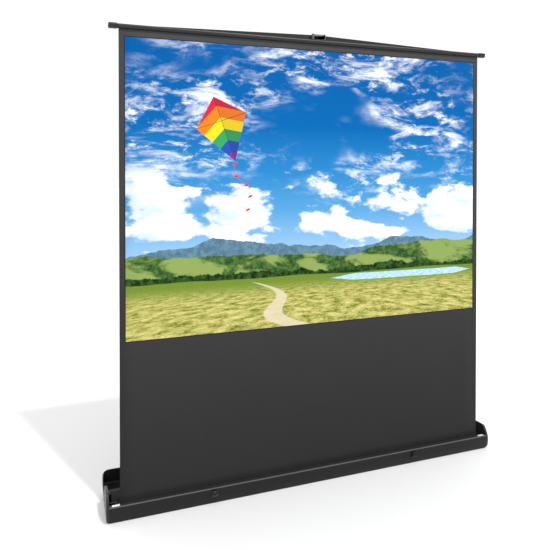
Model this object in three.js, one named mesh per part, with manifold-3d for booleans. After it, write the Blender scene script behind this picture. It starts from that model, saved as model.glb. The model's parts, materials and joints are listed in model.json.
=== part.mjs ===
// Portable projector screen: a long low case with a lid, a spring roller, a white screen that pulls up out of
// the case, and a folding frame of four arms that holds the top rail. Millimetres, +Z up, the front faces -Y.
// The origin is the middle of the case's underside, on the floor.
import * as THREE from 'three';
import { mergeVertices } from 'three/addons/utils/BufferGeometryUtils.js';
import Module from 'manifold-3d';

const wasm = await Module();
wasm.setup();

// Fits and shared values
const seat_gap = 0.3;
const overrun = 4;
const round_sides = 24;
const small_sides = 16;
const curve_steps = 8;

// Case
const case_wall = 2.5;
const lip_height = 48.5;
const lip_ledge = 13;
const rear_height = 56;
const bulge_height = 33;
const front_tuck = 7;
const cap_thickness = 8;
const cap_height = 80.5;
const cap_rear_drop = 6;
const cap_lean_share = 0.25;
const cap_edge_radius = 6;
const case_corner_radius = 14;
const ledge_plate_width = 22;
const ledge_plate_depth = 9;
const ledge_plate_thickness = 0.6;
const ledge_plate_inset = 1.5;
const cap_spigot_length = 12;
const cap_spigot_wall = 3;
const cap_screw_radius = 3;
const cap_screw_head = 1.6;
const cap_screw_tip = 2;
const shank_share = 0.5;
const screw_fit = 0.3;
const cap_screw_shares = [
  [-0.6, 0.3],
  [0.6, 0.7],
];

// Screen cloth and roller
const cloth_half_width = 633;
const cloth_thickness = 0.8;
const cloth_setback = 19;
const roller_radius = 12.5;
const roller_wall = 1.2;
const roller_overhang = 4;
const wrap_thickness = 3.2;
const roller_height = 24;
const plug_flange = 2;
const plug_length = 22;
const spindle_radius = 4;
const spindle_reach = 12;
const bracket_thickness = 3;
const bracket_side_gap = 2;
const bracket_foot = 8;
const bracket_margin = 6;
const bracket_rise = 16;
const bracket_flange_width = 19;
const bracket_flange_depth = 5;
const spring_wire_radius = 1;
const spring_turns = 16;
const spring_length = 200;
const spring_steps_per_turn = 8;
const spring_sides = 5;
const spindle_fit = 0.5;

// Top rail
const rail_overhang = 29;
const rail_end_gap = 3;
const rail_height = 13.5;
const rail_depth = 16;
const rail_wall = 2.5;
const rail_corner_radius = 6;
const rail_open_bottom = 1430.5;
const rail_cap_length = 26;
const rail_cap_lip = 1.5;
const cloth_slot_width = 3;
const cloth_slot_depth = 5;
const stiffener_thickness = 3;
const stiffener_rise = 18;
const stiffener_foot = 10;
const stiffener_end_gap = 2;
const handle_half_width = 22.5;
const handle_cheek = 4.5;
const handle_rise = 20;
const handle_depth = 13;
const handle_bar_radius = 4;
const handle_bar_drop = 5;

// Folding frame
const frame_lean = 10.5;
const arm_width = 22;
const arm_thickness = 5;
const arm_gap = 0.5;
const pivot_spread = 70;
const foot_pivot_height = 22;
const head_pivot_rise = 5.5;
const pin_radius = 4;
const pin_fit = 0.4;
const plate_thickness = 2;
const plate_end = 14;
const frame_roller_gap = 1.3;
const frame_rear_gap = 2;
const head_web_gap = 2;

// Lid
const lid_gap = 1.5;
const lid_wall = 2;
const lid_height = 101;
const lid_front_bottom = 52;
const lid_edge_radius = 9;
const lid_corner_radius = 20;
const lid_open_angle = 170;
const lid_end_thickness = 4;
const hinge_radius = 3;
const hinge_pin_radius = 1.5;
const hinge_leaf_width = 60;
const hinge_leaf_height = 20;
const hinge_leaf_thickness = 1.5;
const hinge_inset = 233;
const hinge_knuckles = 3;
const hinge_pin_fit = 0.4;
const strap_half_length = 75;
const strap_width = 24;
const strap_thickness = 3;
const strap_rise = 9;
const strap_post_length = 22;
const strap_post_width = 30;
const strap_place = 16;

// Latches
const latch_inset = 318;
const latch_plate_width = 26;
const latch_plate_bottom = 24;
const latch_plate_top = 44;
const latch_plate_thickness = 1.6;
const latch_ear = 2;
const latch_ear_reach = 6.6;
const latch_pivot_height = 28.5;
const latch_pin_radius = 1.2;
const latch_lever_width = 16;
const latch_lever_top = 43;
const latch_lever_thickness = 2.4;
const latch_stud_width = 4;
const latch_loop_thickness = 1.8;
const latch_fit = 0.5;
const strike_width = 16;
const strike_height = 9;
const strike_reach = 4;
const strike_rise = 4;

// Places worked out from the sizes above
const rail_half_length = cloth_half_width + rail_overhang;
const case_half_length = rail_half_length + rail_end_gap + cap_thickness;
const hinge_spacing = case_half_length - hinge_inset;
const latch_spacing = case_half_length - latch_inset;
const wrap_radius = roller_radius + seat_gap + wrap_thickness;
const arm_pitch = arm_thickness + arm_gap;
const roller_depth = cloth_thickness / 2 + seat_gap + wrap_radius * 2;
const frame_depth = (plate_thickness + arm_gap) * 2 + arm_pitch * 3 + arm_thickness;
const rear_depth = frame_rear_gap + case_wall;
const case_depth = cloth_setback + roller_depth + frame_roller_gap + frame_depth + rear_depth;
const case_front = -case_depth / 2;
const case_back = case_depth / 2;
const channel_half = case_half_length - cap_thickness - seat_gap;
const cloth_plane = case_front + cloth_setback;
const roller_y = cloth_plane + cloth_thickness / 2 + seat_gap + wrap_radius;
const roller_half = cloth_half_width + roller_overhang;
const rail_front = cloth_plane - rail_depth / 2;
const rail_back = cloth_plane + rail_depth / 2;
const rail_top = rail_open_bottom + rail_height;
const head_pivot_height = rail_open_bottom + head_pivot_rise;
const frame_angle = THREE.MathUtils.degToRad(frame_lean);
const arm_length = (head_pivot_height - foot_pivot_height) / 2 / Math.cos(frame_angle);
const elbow_offset = arm_length * Math.sin(frame_angle);
const elbow_height = foot_pivot_height + arm_length * Math.cos(frame_angle);
const hinge_y = case_back + seat_gap + hinge_radius;
const hinge_z = rear_height;
const spindle_end = roller_half + plug_flange + bracket_side_gap + bracket_thickness;

// Arm layers from front to back: lower arm A, upper arm A, upper arm B, lower arm B
const frame_front = roller_y + wrap_radius + frame_roller_gap;
const layer = (index) => frame_front + plate_thickness + arm_gap + index * arm_pitch;

// The two sides of the case
const sides = [
  ['left', -1],
  ['right', 1],
];

// Finishes
const finishes = {
  black_metal: { color: 0x2a2a2c, roughness: 0.38, metalness: 0.3 },
  gloss_black: { color: 0x141416, roughness: 0.22, metalness: 0.1 },
  grey_metal: { color: 0x6a6c70, roughness: 0.4, metalness: 0.8 },
  bright_metal: { color: 0xd2d4d6, roughness: 0.25, metalness: 1 },
  rubber: { color: 0x1a1a1a, roughness: 0.9, metalness: 0 },
  cloth: { color: 0x303032, roughness: 0.95, metalness: 0 },
};

// A closed geometry as a solid
function solid(geometry) {
  const bare = geometry.clone();
  bare.deleteAttribute('normal');
  bare.deleteAttribute('uv');
  const joined = mergeVertices(bare);
  return new wasm.Manifold(
    new wasm.Mesh({
      numProp: 3,
      vertProperties: Float32Array.from(joined.attributes.position.array),
      triVerts: Uint32Array.from(joined.index.array),
    }),
  );
}

// A solid as a geometry
function geometryOf(body) {
  const mesh = body.getMesh();
  const geometry = new THREE.BufferGeometry();
  geometry.setAttribute('position', new THREE.BufferAttribute(Float32Array.from(mesh.vertProperties), 3));
  geometry.setIndex(new THREE.BufferAttribute(Uint32Array.from(mesh.triVerts), 1));
  geometry.computeVertexNormals();
  return geometry;
}

const joinAll = (bodies) => bodies.reduce((sum, body) => sum.add(body));

// A block between two corners
function block(x0, x1, y0, y1, z0, z1) {
  const geometry = new THREE.BoxGeometry(x1 - x0, y1 - y0, z1 - z0);
  geometry.translate((x0 + x1) / 2, (y0 + y1) / 2, (z0 + z1) / 2);
  return solid(geometry);
}

// An outline in Y and Z drawn out along X
function drawnAlongX(shape, x0, x1) {
  const geometry = new THREE.ExtrudeGeometry(shape, {
    depth: x1 - x0,
    bevelEnabled: false,
    curveSegments: curve_steps,
  });
  const turn = new THREE.Matrix4().makeBasis(
    new THREE.Vector3(0, 1, 0),
    new THREE.Vector3(0, 0, 1),
    new THREE.Vector3(1, 0, 0),
  );
  geometry.applyMatrix4(turn);
  geometry.translate(x0, 0, 0);
  return solid(geometry);
}

// An outline in X and Z drawn out along Y
function drawnAlongY(shape, y0, y1) {
  const geometry = new THREE.ExtrudeGeometry(shape, {
    depth: y1 - y0,
    bevelEnabled: false,
    curveSegments: curve_steps,
  });
  const turn = new THREE.Matrix4().makeBasis(
    new THREE.Vector3(1, 0, 0),
    new THREE.Vector3(0, 0, 1),
    new THREE.Vector3(0, -1, 0),
  );
  geometry.applyMatrix4(turn);
  geometry.translate(0, y1, 0);
  return solid(geometry);
}

// Round rods along each axis
function rodX(radius, x0, x1, y, z, sides = round_sides) {
  const geometry = new THREE.CylinderGeometry(radius, radius, x1 - x0, sides);
  geometry.rotateZ(Math.PI / 2);
  geometry.translate((x0 + x1) / 2, y, z);
  return solid(geometry);
}

function rodY(radius, x, y0, y1, z, sides = round_sides) {
  const geometry = new THREE.CylinderGeometry(radius, radius, y1 - y0, sides);
  geometry.translate(x, (y0 + y1) / 2, z);
  return solid(geometry);
}

function rodZ(radius, x, y, z0, z1, sides = round_sides) {
  const geometry = new THREE.CylinderGeometry(radius, radius, z1 - z0, sides);
  geometry.rotateX(Math.PI / 2);
  geometry.translate(x, y, (z0 + z1) / 2);
  return solid(geometry);
}

// A rectangle with its own radius at each corner, from the lower left one round to the upper left one
function roundedRectangle(x0, x1, y0, y1, radii) {
  const [r0, r1, r2, r3] = radii;
  const shape = new THREE.Shape();
  shape.moveTo(x0 + r0, y0);
  shape.lineTo(x1 - r1, y0);
  shape.absarc(x1 - r1, y0 + r1, r1, -Math.PI / 2, 0);
  shape.lineTo(x1, y1 - r2);
  shape.absarc(x1 - r2, y1 - r2, r2, 0, Math.PI / 2);
  shape.lineTo(x0 + r3, y1);
  shape.absarc(x0 + r3, y1 - r3, r3, Math.PI / 2, Math.PI);
  shape.lineTo(x0, y0 + r0);
  shape.absarc(x0 + r0, y0 + r0, r0, Math.PI, Math.PI * 1.5);
  return shape;
}

// The bulging front face of the case at a height
function frontFace(z) {
  return case_front + front_tuck * ((z - bulge_height) / bulge_height) ** 2;
}

// Points up the front face, set in by a wall
function frontPoints(z0, z1, inset) {
  const points = [];
  for (let i = 0; i <= curve_steps; i++) {
    const z = z0 + ((z1 - z0) * i) / curve_steps;
    points.push([frontFace(z) + inset, z]);
  }
  return points;
}

function shapeOf(points) {
  return new THREE.Shape(points.map(([x, y]) => new THREE.Vector2(x, y)));
}

// The end cap's side view, grown by a margin: it leans back above the lip
function capOutline(margin) {
  const top = cap_height + margin;
  const back = case_back + margin;
  const lean = (z) => cap_lean_share * Math.max(0, z - lip_height);
  const upright = frontPoints(0, cap_height - cap_edge_radius, -margin);
  const front = upright.map(([y, z]) => [y + lean(z), z]);
  const shape = shapeOf(front);
  const [last_y, last_z] = front[front.length - 1];
  shape.quadraticCurveTo(last_y + cap_edge_radius / 2, top, last_y + cap_edge_radius * 2, top);
  shape.quadraticCurveTo(0, top, back - cap_edge_radius, top - cap_rear_drop);
  shape.quadraticCurveTo(back, top - cap_rear_drop, back, top - cap_rear_drop - cap_edge_radius);
  shape.lineTo(back, 0);
  shape.lineTo(front[0][0], 0);
  return shape;
}

// Rounds the ends of a long piece in the front view
function roundEnds(body, z0, z1, radii) {
  const shape = roundedRectangle(-case_half_length, case_half_length, z0, z1, radii);
  return body.intersect(drawnAlongY(shape, case_front - overrun, case_back + overrun));
}

// The case's drawn channel: floor, front lip with its ledge, and rear wall
function caseChannel() {
  const lip_top = lip_height - case_wall;
  const outer = frontPoints(0, lip_height, 0);
  const inner = frontPoints(case_wall, lip_top, case_wall).reverse();
  const ledge_back = frontFace(lip_height) + lip_ledge;
  const points = [
    ...outer,
    [ledge_back, lip_height],
    [ledge_back, lip_top],
    ...inner,
    [case_back - case_wall, case_wall],
    [case_back - case_wall, rear_height],
    [case_back, rear_height],
    [case_back, 0],
  ];
  const channel = drawnAlongX(shapeOf(points.reverse()), -channel_half, channel_half);
  const radii = [case_corner_radius, case_corner_radius, 0, 0];
  return roundEnds(channel, 0, rear_height + overrun, radii);
}

// The bright plate on the lip's ledge beside one edge of the cloth
function ledgePlate(side) {
  const near = cloth_half_width + ledge_plate_inset;
  const front = frontFace(lip_height) + (lip_ledge - ledge_plate_depth) / 2;
  const low = lip_height + seat_gap;
  const high = low + ledge_plate_thickness;
  const plate = block(near, near + ledge_plate_width, front, front + ledge_plate_depth, low, high);
  return side > 0 ? plate : plate.mirror([1, 0, 0]);
}

// A moulded end cap with a spigot that plugs into the channel, for one side of the case
function endCap(side) {
  const outer = side * case_half_length;
  const inner = side * (case_half_length - cap_thickness);
  const spigot_end = inner - side * cap_spigot_length;
  const low = case_wall + seat_gap;
  const high = lip_height - case_wall - seat_gap;
  const back = case_back - case_wall - seat_gap;
  const front = frontFace(low) + case_wall + seat_gap;
  const plate = drawnAlongX(capOutline(0), Math.min(outer, inner), Math.max(outer, inner));
  const spigot_x0 = Math.min(spigot_end, inner);
  const spigot_x1 = Math.max(spigot_end, inner);
  const rear_rib = block(spigot_x0, spigot_x1, back - cap_spigot_wall, back, low, high);
  const floor_rib = block(spigot_x0, spigot_x1, front, back, low, low + cap_spigot_wall);
  const radii = [case_corner_radius, case_corner_radius, cap_edge_radius, cap_edge_radius];
  const cap = roundEnds(plate, 0, cap_height, radii).add(rear_rib).add(floor_rib);
  const holes = screwPlaces().map(([y, z]) => capScrew(side, y, z, screw_fit));
  return cap.subtract(joinAll(holes));
}

// Where the screws go in an end cap
function screwPlaces() {
  return cap_screw_shares.map(([y, z]) => [(y * case_depth) / 2, z * cap_height]);
}

// A sunk screw through an end cap, grown by a margin where it is used as the hole's cutter
function capScrew(side, y, z, margin) {
  const face = side * case_half_length;
  const under_head = face - side * (cap_screw_head + margin);
  const tip = face - side * (cap_thickness - cap_screw_tip);
  const reach = tip - side * margin;
  const outer = face + side * (margin > 0 ? overrun : -seat_gap);
  const head = rodX(cap_screw_radius + margin, Math.min(under_head, outer), Math.max(under_head, outer), y, z);
  const shank_x0 = Math.min(reach, under_head);
  const shank_x1 = Math.max(reach, under_head);
  const shank = rodX(cap_screw_radius * shank_share + margin, shank_x0, shank_x1, y, z, small_sides);
  return head.add(shank);
}

// The bracket that carries one end of the roller
function rollerBracket(side) {
  const near = roller_half + plug_flange + bracket_side_gap;
  const far = near + bracket_thickness;
  const low = case_wall + seat_gap;
  const top = roller_height + bracket_rise;
  const half = spindle_radius + bracket_margin;
  const plate = block(near, far, roller_y - half, roller_y + half, low, top);
  const foot = block(near, far + bracket_foot, roller_y - half, roller_y + half, low, low + bracket_thickness);
  const hole = rodX(spindle_radius + seat_gap, near - overrun, far + overrun, roller_y, roller_height);
  const rear = roller_y + half;
  const flange_low = top - bracket_thickness / 2;
  const flange = block(near, near + bracket_flange_width, rear - bracket_flange_depth, rear, flange_low, top);
  const body = plate.add(foot).add(flange).subtract(hole);
  return side > 0 ? body : body.mirror([1, 0, 0]);
}

// The fixed pin that one end of the roller turns on
function spindle(side, length) {
  const tip = spindle_end - length;
  const x0 = side > 0 ? tip : -spindle_end;
  const x1 = side > 0 ? spindle_end : -tip;
  return rodX(spindle_radius, x0, x1, roller_y, roller_height);
}

// Roller tube, its end plugs and the cloth wound on it
function rollerTube() {
  const tube = rodX(roller_radius, -roller_half, roller_half, roller_y, roller_height);
  const bore_half = roller_half + overrun;
  const bore = rodX(roller_radius - roller_wall, -bore_half, bore_half, roller_y, roller_height);
  return tube.subtract(bore);
}

function rollerPlug(side) {
  const inner = roller_half - plug_length;
  const flange_start = roller_half + seat_gap;
  const outer = flange_start + plug_flange;
  const body = rodX(roller_radius - roller_wall - seat_gap, inner, flange_start, roller_y, roller_height);
  const flange = rodX(roller_radius, flange_start, outer, roller_y, roller_height);
  const bore = rodX(spindle_radius + spindle_fit, inner - overrun, outer + overrun, roller_y, roller_height);
  const plug = body.add(flange).subtract(bore);
  return side > 0 ? plug : plug.mirror([1, 0, 0]);
}

function clothRoll() {
  const roll = rodX(wrap_radius, -cloth_half_width, cloth_half_width, roller_y, roller_height);
  const core_half = cloth_half_width + overrun;
  const core = rodX(roller_radius + seat_gap, -core_half, core_half, roller_y, roller_height);
  return roll.subtract(core);
}

// The spring that winds the roller, coiled round the left spindle
class SpringCurve extends THREE.Curve {
  getPoint(t, target = new THREE.Vector3()) {
    const angle = t * spring_turns * 2 * Math.PI;
    const radius = spindle_radius + seat_gap + spring_wire_radius;
    const start = -(roller_half - plug_length - spring_wire_radius * 2);
    return target.set(
      start + t * spring_length,
      roller_y + radius * Math.cos(angle),
      roller_height + radius * Math.sin(angle),
    );
  }
}

function rollerSpring() {
  const section = new THREE.Shape();
  section.absarc(0, 0, spring_wire_radius, 0, Math.PI * 2);
  const geometry = new THREE.ExtrudeGeometry(section, {
    steps: spring_turns * spring_steps_per_turn,
    curveSegments: Math.ceil(spring_sides / 2) + 1,
    extrudePath: new SpringCurve(),
  });
  return solid(geometry);
}

// The pulled-out screen cloth, from the roller's front up into the rail's slot
function screenCloth() {
  const front = cloth_plane - cloth_thickness / 2;
  const back = cloth_plane + cloth_thickness / 2;
  const top = rail_open_bottom + cloth_slot_depth - seat_gap;
  return block(-cloth_half_width, cloth_half_width, front, back, roller_height, top);
}

// The top rail: a hollow section with a slot for the cloth
function topRail() {
  const half = rail_half_length - rail_cap_length - seat_gap;
  const round = rail_corner_radius;
  const radii = [round, round, round, round];
  const outline = roundedRectangle(rail_front, rail_back, rail_open_bottom, rail_top, radii);
  const outer = drawnAlongX(outline, -half, half);
  const cut_half = half + overrun;
  const inner_low = rail_open_bottom + cloth_slot_depth;
  const inner_high = rail_top - rail_wall;
  const hollow = block(-cut_half, cut_half, rail_front + rail_wall, rail_back - rail_wall, inner_low, inner_high);
  const slot_front = cloth_plane - cloth_slot_width / 2;
  const slot_back = cloth_plane + cloth_slot_width / 2;
  const slot_low = rail_open_bottom - overrun;
  const slot = block(-cut_half, cut_half, slot_front, slot_back, slot_low, inner_low + overrun);
  return outer.subtract(hollow).subtract(slot);
}

// A moulded cap on one end of the rail
function railCap(side) {
  const outline = roundedRectangle(
    rail_front - rail_cap_lip,
    rail_back + rail_cap_lip,
    rail_open_bottom - rail_cap_lip,
    rail_top + rail_cap_lip,
    Array(4).fill(rail_corner_radius),
  );
  const body = drawnAlongX(outline, rail_half_length - rail_cap_length, rail_half_length);
  return side > 0 ? body : body.mirror([1, 0, 0]);
}

// The peaked strip behind the rail, deepest over the middle support
function railStiffener() {
  const half = rail_half_length - rail_cap_length - stiffener_end_gap;
  const low = rail_top - stiffener_foot;
  const shape = shapeOf([
    [-half, low],
    [half, low],
    [half, rail_top],
    [0, rail_top + stiffener_rise],
    [-half, rail_top],
  ]);
  const front = rail_back + seat_gap;
  return drawnAlongY(shape, front, front + stiffener_thickness);
}

// The pull handle on the middle of the rail: a base and two cheeks, with a bright bar between them
function pullHandle() {
  const low = rail_top + seat_gap;
  const high = rail_top + handle_rise;
  const front = cloth_plane - handle_depth / 2;
  const back = cloth_plane + handle_depth / 2;
  const radii = [0, 0, handle_depth / 3, handle_depth / 3];
  const side_view = roundedRectangle(front, back, low, high, radii);
  const cheek = drawnAlongX(side_view, handle_half_width - handle_cheek, handle_half_width);
  const base = block(-handle_half_width, handle_half_width, front, back, low, low + plate_thickness);
  return base.add(cheek).add(cheek.mirror([1, 0, 0]));
}

function handleBar() {
  const half = handle_half_width - handle_cheek - seat_gap;
  return rodX(handle_bar_radius, -half, half, cloth_plane, rail_top + handle_rise - handle_bar_drop);
}

// One flat arm of the frame, standing up from its pivot at the origin
function frameArm() {
  const half = arm_width / 2;
  const shape = new THREE.Shape();
  shape.absarc(0, arm_length, half, 0, Math.PI);
  shape.absarc(0, 0, half, Math.PI, Math.PI * 2);
  const bar = drawnAlongY(shape, 0, arm_thickness);
  const hole_radius = pin_radius + pin_fit;
  const low_hole = rodY(hole_radius, 0, -overrun, arm_thickness + overrun, 0);
  const high_hole = rodY(hole_radius, 0, -overrun, arm_thickness + overrun, arm_length);
  return bar.subtract(low_hole).subtract(high_hole);
}

// A flush pin through pieces between two depths
function framePin(x, z, y0, y1) {
  return rodY(pin_radius, x, y0, y1, z);
}

function framePlate(y0, z0, z1, pin_x, pin_z) {
  const half = pivot_spread + plate_end;
  const plate = block(-half, half, y0, y0 + plate_thickness, z0, z1);
  return plate.subtract(rodY(pin_radius + seat_gap, pin_x, y0 - overrun, y0 + plate_thickness + overrun, pin_z));
}

// The channel on the case floor that carries both lower arms
function footChannel() {
  const low = case_wall + seat_gap;
  const high = foot_pivot_height + plate_end;
  const half = pivot_spread + plate_end;
  const front = layer(0) - arm_gap - plate_thickness;
  const back = layer(3) + arm_thickness + arm_gap;
  const web = block(-half, half, front, back + plate_thickness, low, low + plate_thickness);
  const front_plate = framePlate(front, low, high, pivot_spread, foot_pivot_height);
  const back_plate = framePlate(back, low, high, -pivot_spread, foot_pivot_height);
  return web.add(front_plate).add(back_plate);
}

function footPin(name) {
  const front = layer(0) - arm_gap - plate_thickness;
  const back = layer(3) + arm_thickness + arm_gap + plate_thickness;
  return name === 'a'
    ? framePin(pivot_spread, foot_pivot_height, front, layer(0) + arm_thickness)
    : framePin(-pivot_spread, foot_pivot_height, layer(3), back);
}

// The channel on the back of the rail that both upper arms are pinned to
function headChannel() {
  const half = pivot_spread + plate_end;
  const web_low = head_pivot_height + arm_width / 2 + head_web_gap;
  const web_high = web_low + plate_thickness;
  const low = head_pivot_height - arm_width / 2;
  const front = layer(1) - arm_gap - plate_thickness;
  const back = layer(2) + arm_thickness + arm_gap;
  const flange_front = rail_back + seat_gap + stiffener_thickness + seat_gap;
  const web = block(-half, half, flange_front, back + plate_thickness, web_low, web_high);
  const flange_top = rail_top + stiffener_rise / 2;
  const flange = block(-half, half, flange_front, flange_front + plate_thickness, rail_top - stiffener_foot, flange_top);
  const front_plate = framePlate(front, low, web_high, pivot_spread, head_pivot_height);
  const back_plate = framePlate(back, low, web_high, -pivot_spread, head_pivot_height);
  return web.add(flange).add(front_plate).add(back_plate);
}

function headPin(name) {
  const front = layer(1) - arm_gap - plate_thickness;
  const back = layer(2) + arm_thickness + arm_gap + plate_thickness;
  return name === 'a'
    ? framePin(pivot_spread, head_pivot_height, front, layer(1) + arm_thickness)
    : framePin(-pivot_spread, head_pivot_height, layer(2), back);
}

// The lid's drawn shell, in the closed place
function lidSideView(inset, low_front, low_back) {
  const front = case_front - lid_gap + inset;
  const back = case_back - inset;
  const top = lid_height - inset;
  const round = lid_edge_radius - inset;
  const shape = new THREE.Shape();
  shape.moveTo(back, low_back);
  shape.lineTo(back, top - round);
  shape.absarc(back - round, top - round, round, 0, Math.PI / 2);
  shape.lineTo(front + round, top);
  shape.absarc(front + round, top - round, round, Math.PI / 2, Math.PI);
  shape.lineTo(front, low_front);
  shape.lineTo(back, low_back);
  return shape;
}

function lidCorners(body) {
  const radii = [lid_corner_radius, lid_corner_radius, 0, 0];
  return roundEnds(body, lid_front_bottom, lid_height + overrun, radii);
}

function lidShell() {
  const half = case_half_length - lid_end_thickness - seat_gap;
  const low_back = hinge_z + hinge_radius + lid_gap;
  const outer = drawnAlongX(lidSideView(0, lid_front_bottom, low_back), -half, half);
  const cut_half = half + overrun;
  const cut_low = lid_front_bottom - overrun * 2;
  const inner = drawnAlongX(lidSideView(lid_wall, cut_low, cut_low), -cut_half, cut_half);
  const room_start = case_half_length - cap_thickness - lid_gap;
  const room = drawnAlongX(capOutline(lid_gap), room_start, case_half_length);
  return lidCorners(outer.subtract(inner).subtract(room).subtract(room.mirror([1, 0, 0])));
}

function lidEnd(side) {
  const low_back = hinge_z + hinge_radius + lid_gap;
  const inner = case_half_length - lid_end_thickness;
  const plate = drawnAlongX(lidSideView(0, lid_front_bottom, low_back), inner, case_half_length);
  const room = drawnAlongX(capOutline(lid_gap), inner - overrun, case_half_length + overrun);
  const body = lidCorners(plate.subtract(room));
  return side > 0 ? body : body.mirror([1, 0, 0]);
}

// Butt hinges: leaves, knuckles and pins

function hingeKnuckle(x, index) {
  const pitch = hinge_leaf_width / hinge_knuckles;
  const x0 = x - hinge_leaf_width / 2 + index * pitch + seat_gap / 2;
  const x1 = x0 + pitch - seat_gap;
  return { x0, x1, rod: rodX(hinge_radius, x0, x1, hinge_y, hinge_z, small_sides) };
}

function hingeBore(x) {
  const half = hinge_leaf_width / 2 + overrun;
  return rodX(hinge_pin_radius + hinge_pin_fit, x - half, x + half, hinge_y, hinge_z, small_sides);
}

function caseLeaf(x) {
  const half = hinge_leaf_width / 2;
  const front = case_back + seat_gap;
  const back = front + hinge_leaf_thickness;
  const leaf_top = hinge_z - hinge_radius - hinge_pin_fit;
  const leaf = block(x - half, x + half, front, back, hinge_z - hinge_leaf_height, leaf_top);
  const knuckles = [0, 2].map((index) => {
    const knuckle = hingeKnuckle(x, index);
    return knuckle.rod.add(block(knuckle.x0, knuckle.x1, front, back, leaf_top - overrun / 2, hinge_z));
  });
  return leaf.add(joinAll(knuckles)).subtract(hingeBore(x));
}

function lidLeaf(x) {
  const half = hinge_leaf_width / 2;
  const front = case_back + seat_gap;
  const back = front + hinge_leaf_thickness;
  const leaf_low = hinge_z + hinge_radius + hinge_pin_fit;
  const leaf = block(x - half, x + half, front, back, leaf_low, hinge_z + hinge_leaf_height);
  const knuckle = hingeKnuckle(x, 1);
  const tongue = block(knuckle.x0, knuckle.x1, front, back, hinge_z, leaf_low + overrun / 2);
  return leaf.add(knuckle.rod).add(tongue).subtract(hingeBore(x));
}

function hingePin(x) {
  const half = hinge_leaf_width / 2;
  return rodX(hinge_pin_radius, x - half, x + half, hinge_y, hinge_z, small_sides);
}

// Carrying strap on the lid, in the closed place
function strapPost(side) {
  const x0 = strap_half_length;
  const x1 = strap_half_length + strap_post_length;
  const low = lid_height + seat_gap;
  const y0 = -strap_place - strap_post_width / 2;
  const y1 = -strap_place + strap_post_width / 2;
  const body = block(x0, x1, y0, y1, low, low + strap_rise);
  const pocket = strapBand(seat_gap);
  const post = body.subtract(pocket);
  return side > 0 ? post : post.mirror([1, 0, 0]);
}

function strapBand(margin) {
  const half = strap_half_length + strap_post_length / 2 + margin;
  const half_width = strap_width / 2 + margin;
  const middle = lid_height + seat_gap + strap_rise / 2;
  const half_height = strap_thickness / 2 + margin;
  const y0 = -strap_place - half_width;
  return block(-half, half, y0, -strap_place + half_width, middle - half_height, middle + half_height);
}

// Strikes on the lid's front wall that the latches pull on, in the closed place
function lidStrike(x) {
  const back = case_front - lid_gap - seat_gap;
  const low = lid_front_bottom + strike_rise;
  const half = strike_width / 2;
  const foot = block(x - half, x + half, back - strike_reach / 2, back, low, low + strike_height);
  const hook_low = low + strike_height / 2;
  return foot.add(block(x - half, x + half, back - strike_reach, back, hook_low, low + strike_height));
}

// Latches on the front lip: a plate with two ears and a pin, a lever on the pin, and a draw loop on the lever
const latch_plate_front = case_front - seat_gap - latch_plate_thickness;
const latch_pin_y = latch_plate_front - latch_ear_reach / 2;
const latch_barrel = latch_pin_radius + latch_fit + latch_lever_thickness / 2;
const loop_low = latch_pivot_height + latch_barrel + latch_fit;
const loop_high = latch_lever_top - latch_fit;
const loop_middle = (loop_low + loop_high) / 2;

function latchPlate(x) {
  const half = latch_plate_width / 2;
  const back = case_front - seat_gap;
  const plate = block(x - half, x + half, latch_plate_front, back, latch_plate_bottom, latch_plate_top);
  const ears = [-1, 1].map((side) => {
    const near = x + side * (latch_lever_width / 2 + latch_fit);
    const far = near + side * latch_ear;
    const low = latch_pivot_height - latch_ear_reach / 2;
    const high = latch_pivot_height + latch_ear_reach / 2;
    const front = latch_plate_front - latch_ear_reach;
    return block(Math.min(near, far), Math.max(near, far), front, latch_plate_front + seat_gap, low, high);
  });
  return plate.add(joinAll(ears)).add(latchRod(x, latch_pin_radius, 0));
}

function latchRod(x, radius, extra) {
  const half = latch_lever_width / 2 + latch_fit + latch_ear + extra;
  return rodX(radius, x - half, x + half, latch_pin_y, latch_pivot_height, small_sides);
}

function latchLever(x) {
  const half = latch_lever_width / 2;
  const barrel = rodX(latch_barrel, x - half, x + half, latch_pin_y, latch_pivot_height, small_sides);
  const front = latch_pin_y - latch_lever_thickness / 2;
  const back = latch_pin_y + latch_lever_thickness / 2;
  const radii = [0, 0, half / 2, half / 2];
  const face = roundedRectangle(x - half, x + half, latch_pivot_height, latch_lever_top, radii);
  const body = barrel.add(drawnAlongY(face, front, back)).add(loopStud(x, front));
  return body.subtract(latchRod(x, latch_pin_radius + latch_fit, overrun));
}

// The stud that the draw loop hangs on
function loopStud(x, front) {
  const half = latch_stud_width / 2;
  const reach = latch_loop_thickness + seat_gap;
  return block(x - half, x + half, front - reach, front + seat_gap, loop_middle - half, loop_middle + half);
}

function latchLoop(x) {
  const back = latch_pin_y - latch_lever_thickness / 2 - seat_gap;
  const front = back - latch_loop_thickness;
  const half = latch_lever_width / 2 - latch_fit;
  const radii = Array(4).fill((loop_high - loop_low) / 3);
  const outline = roundedRectangle(x - half, x + half, loop_low, loop_high, radii);
  const opening = half - latch_loop_thickness;
  const hole_low = loop_low + latch_loop_thickness;
  const hole_high = loop_high - latch_loop_thickness;
  const hole = block(x - opening, x + opening, front - overrun, back + overrun, hole_low, hole_high);
  return drawnAlongY(outline, front, back).subtract(hole);
}

// Puts a body in the scene as a named mesh
function put(group, name, body, finish) {
  const material = new THREE.MeshStandardMaterial(finishes[finish]);
  const mesh = new THREE.Mesh(geometryOf(body), material);
  mesh.name = name;
  group.add(mesh);
  return mesh;
}

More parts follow.
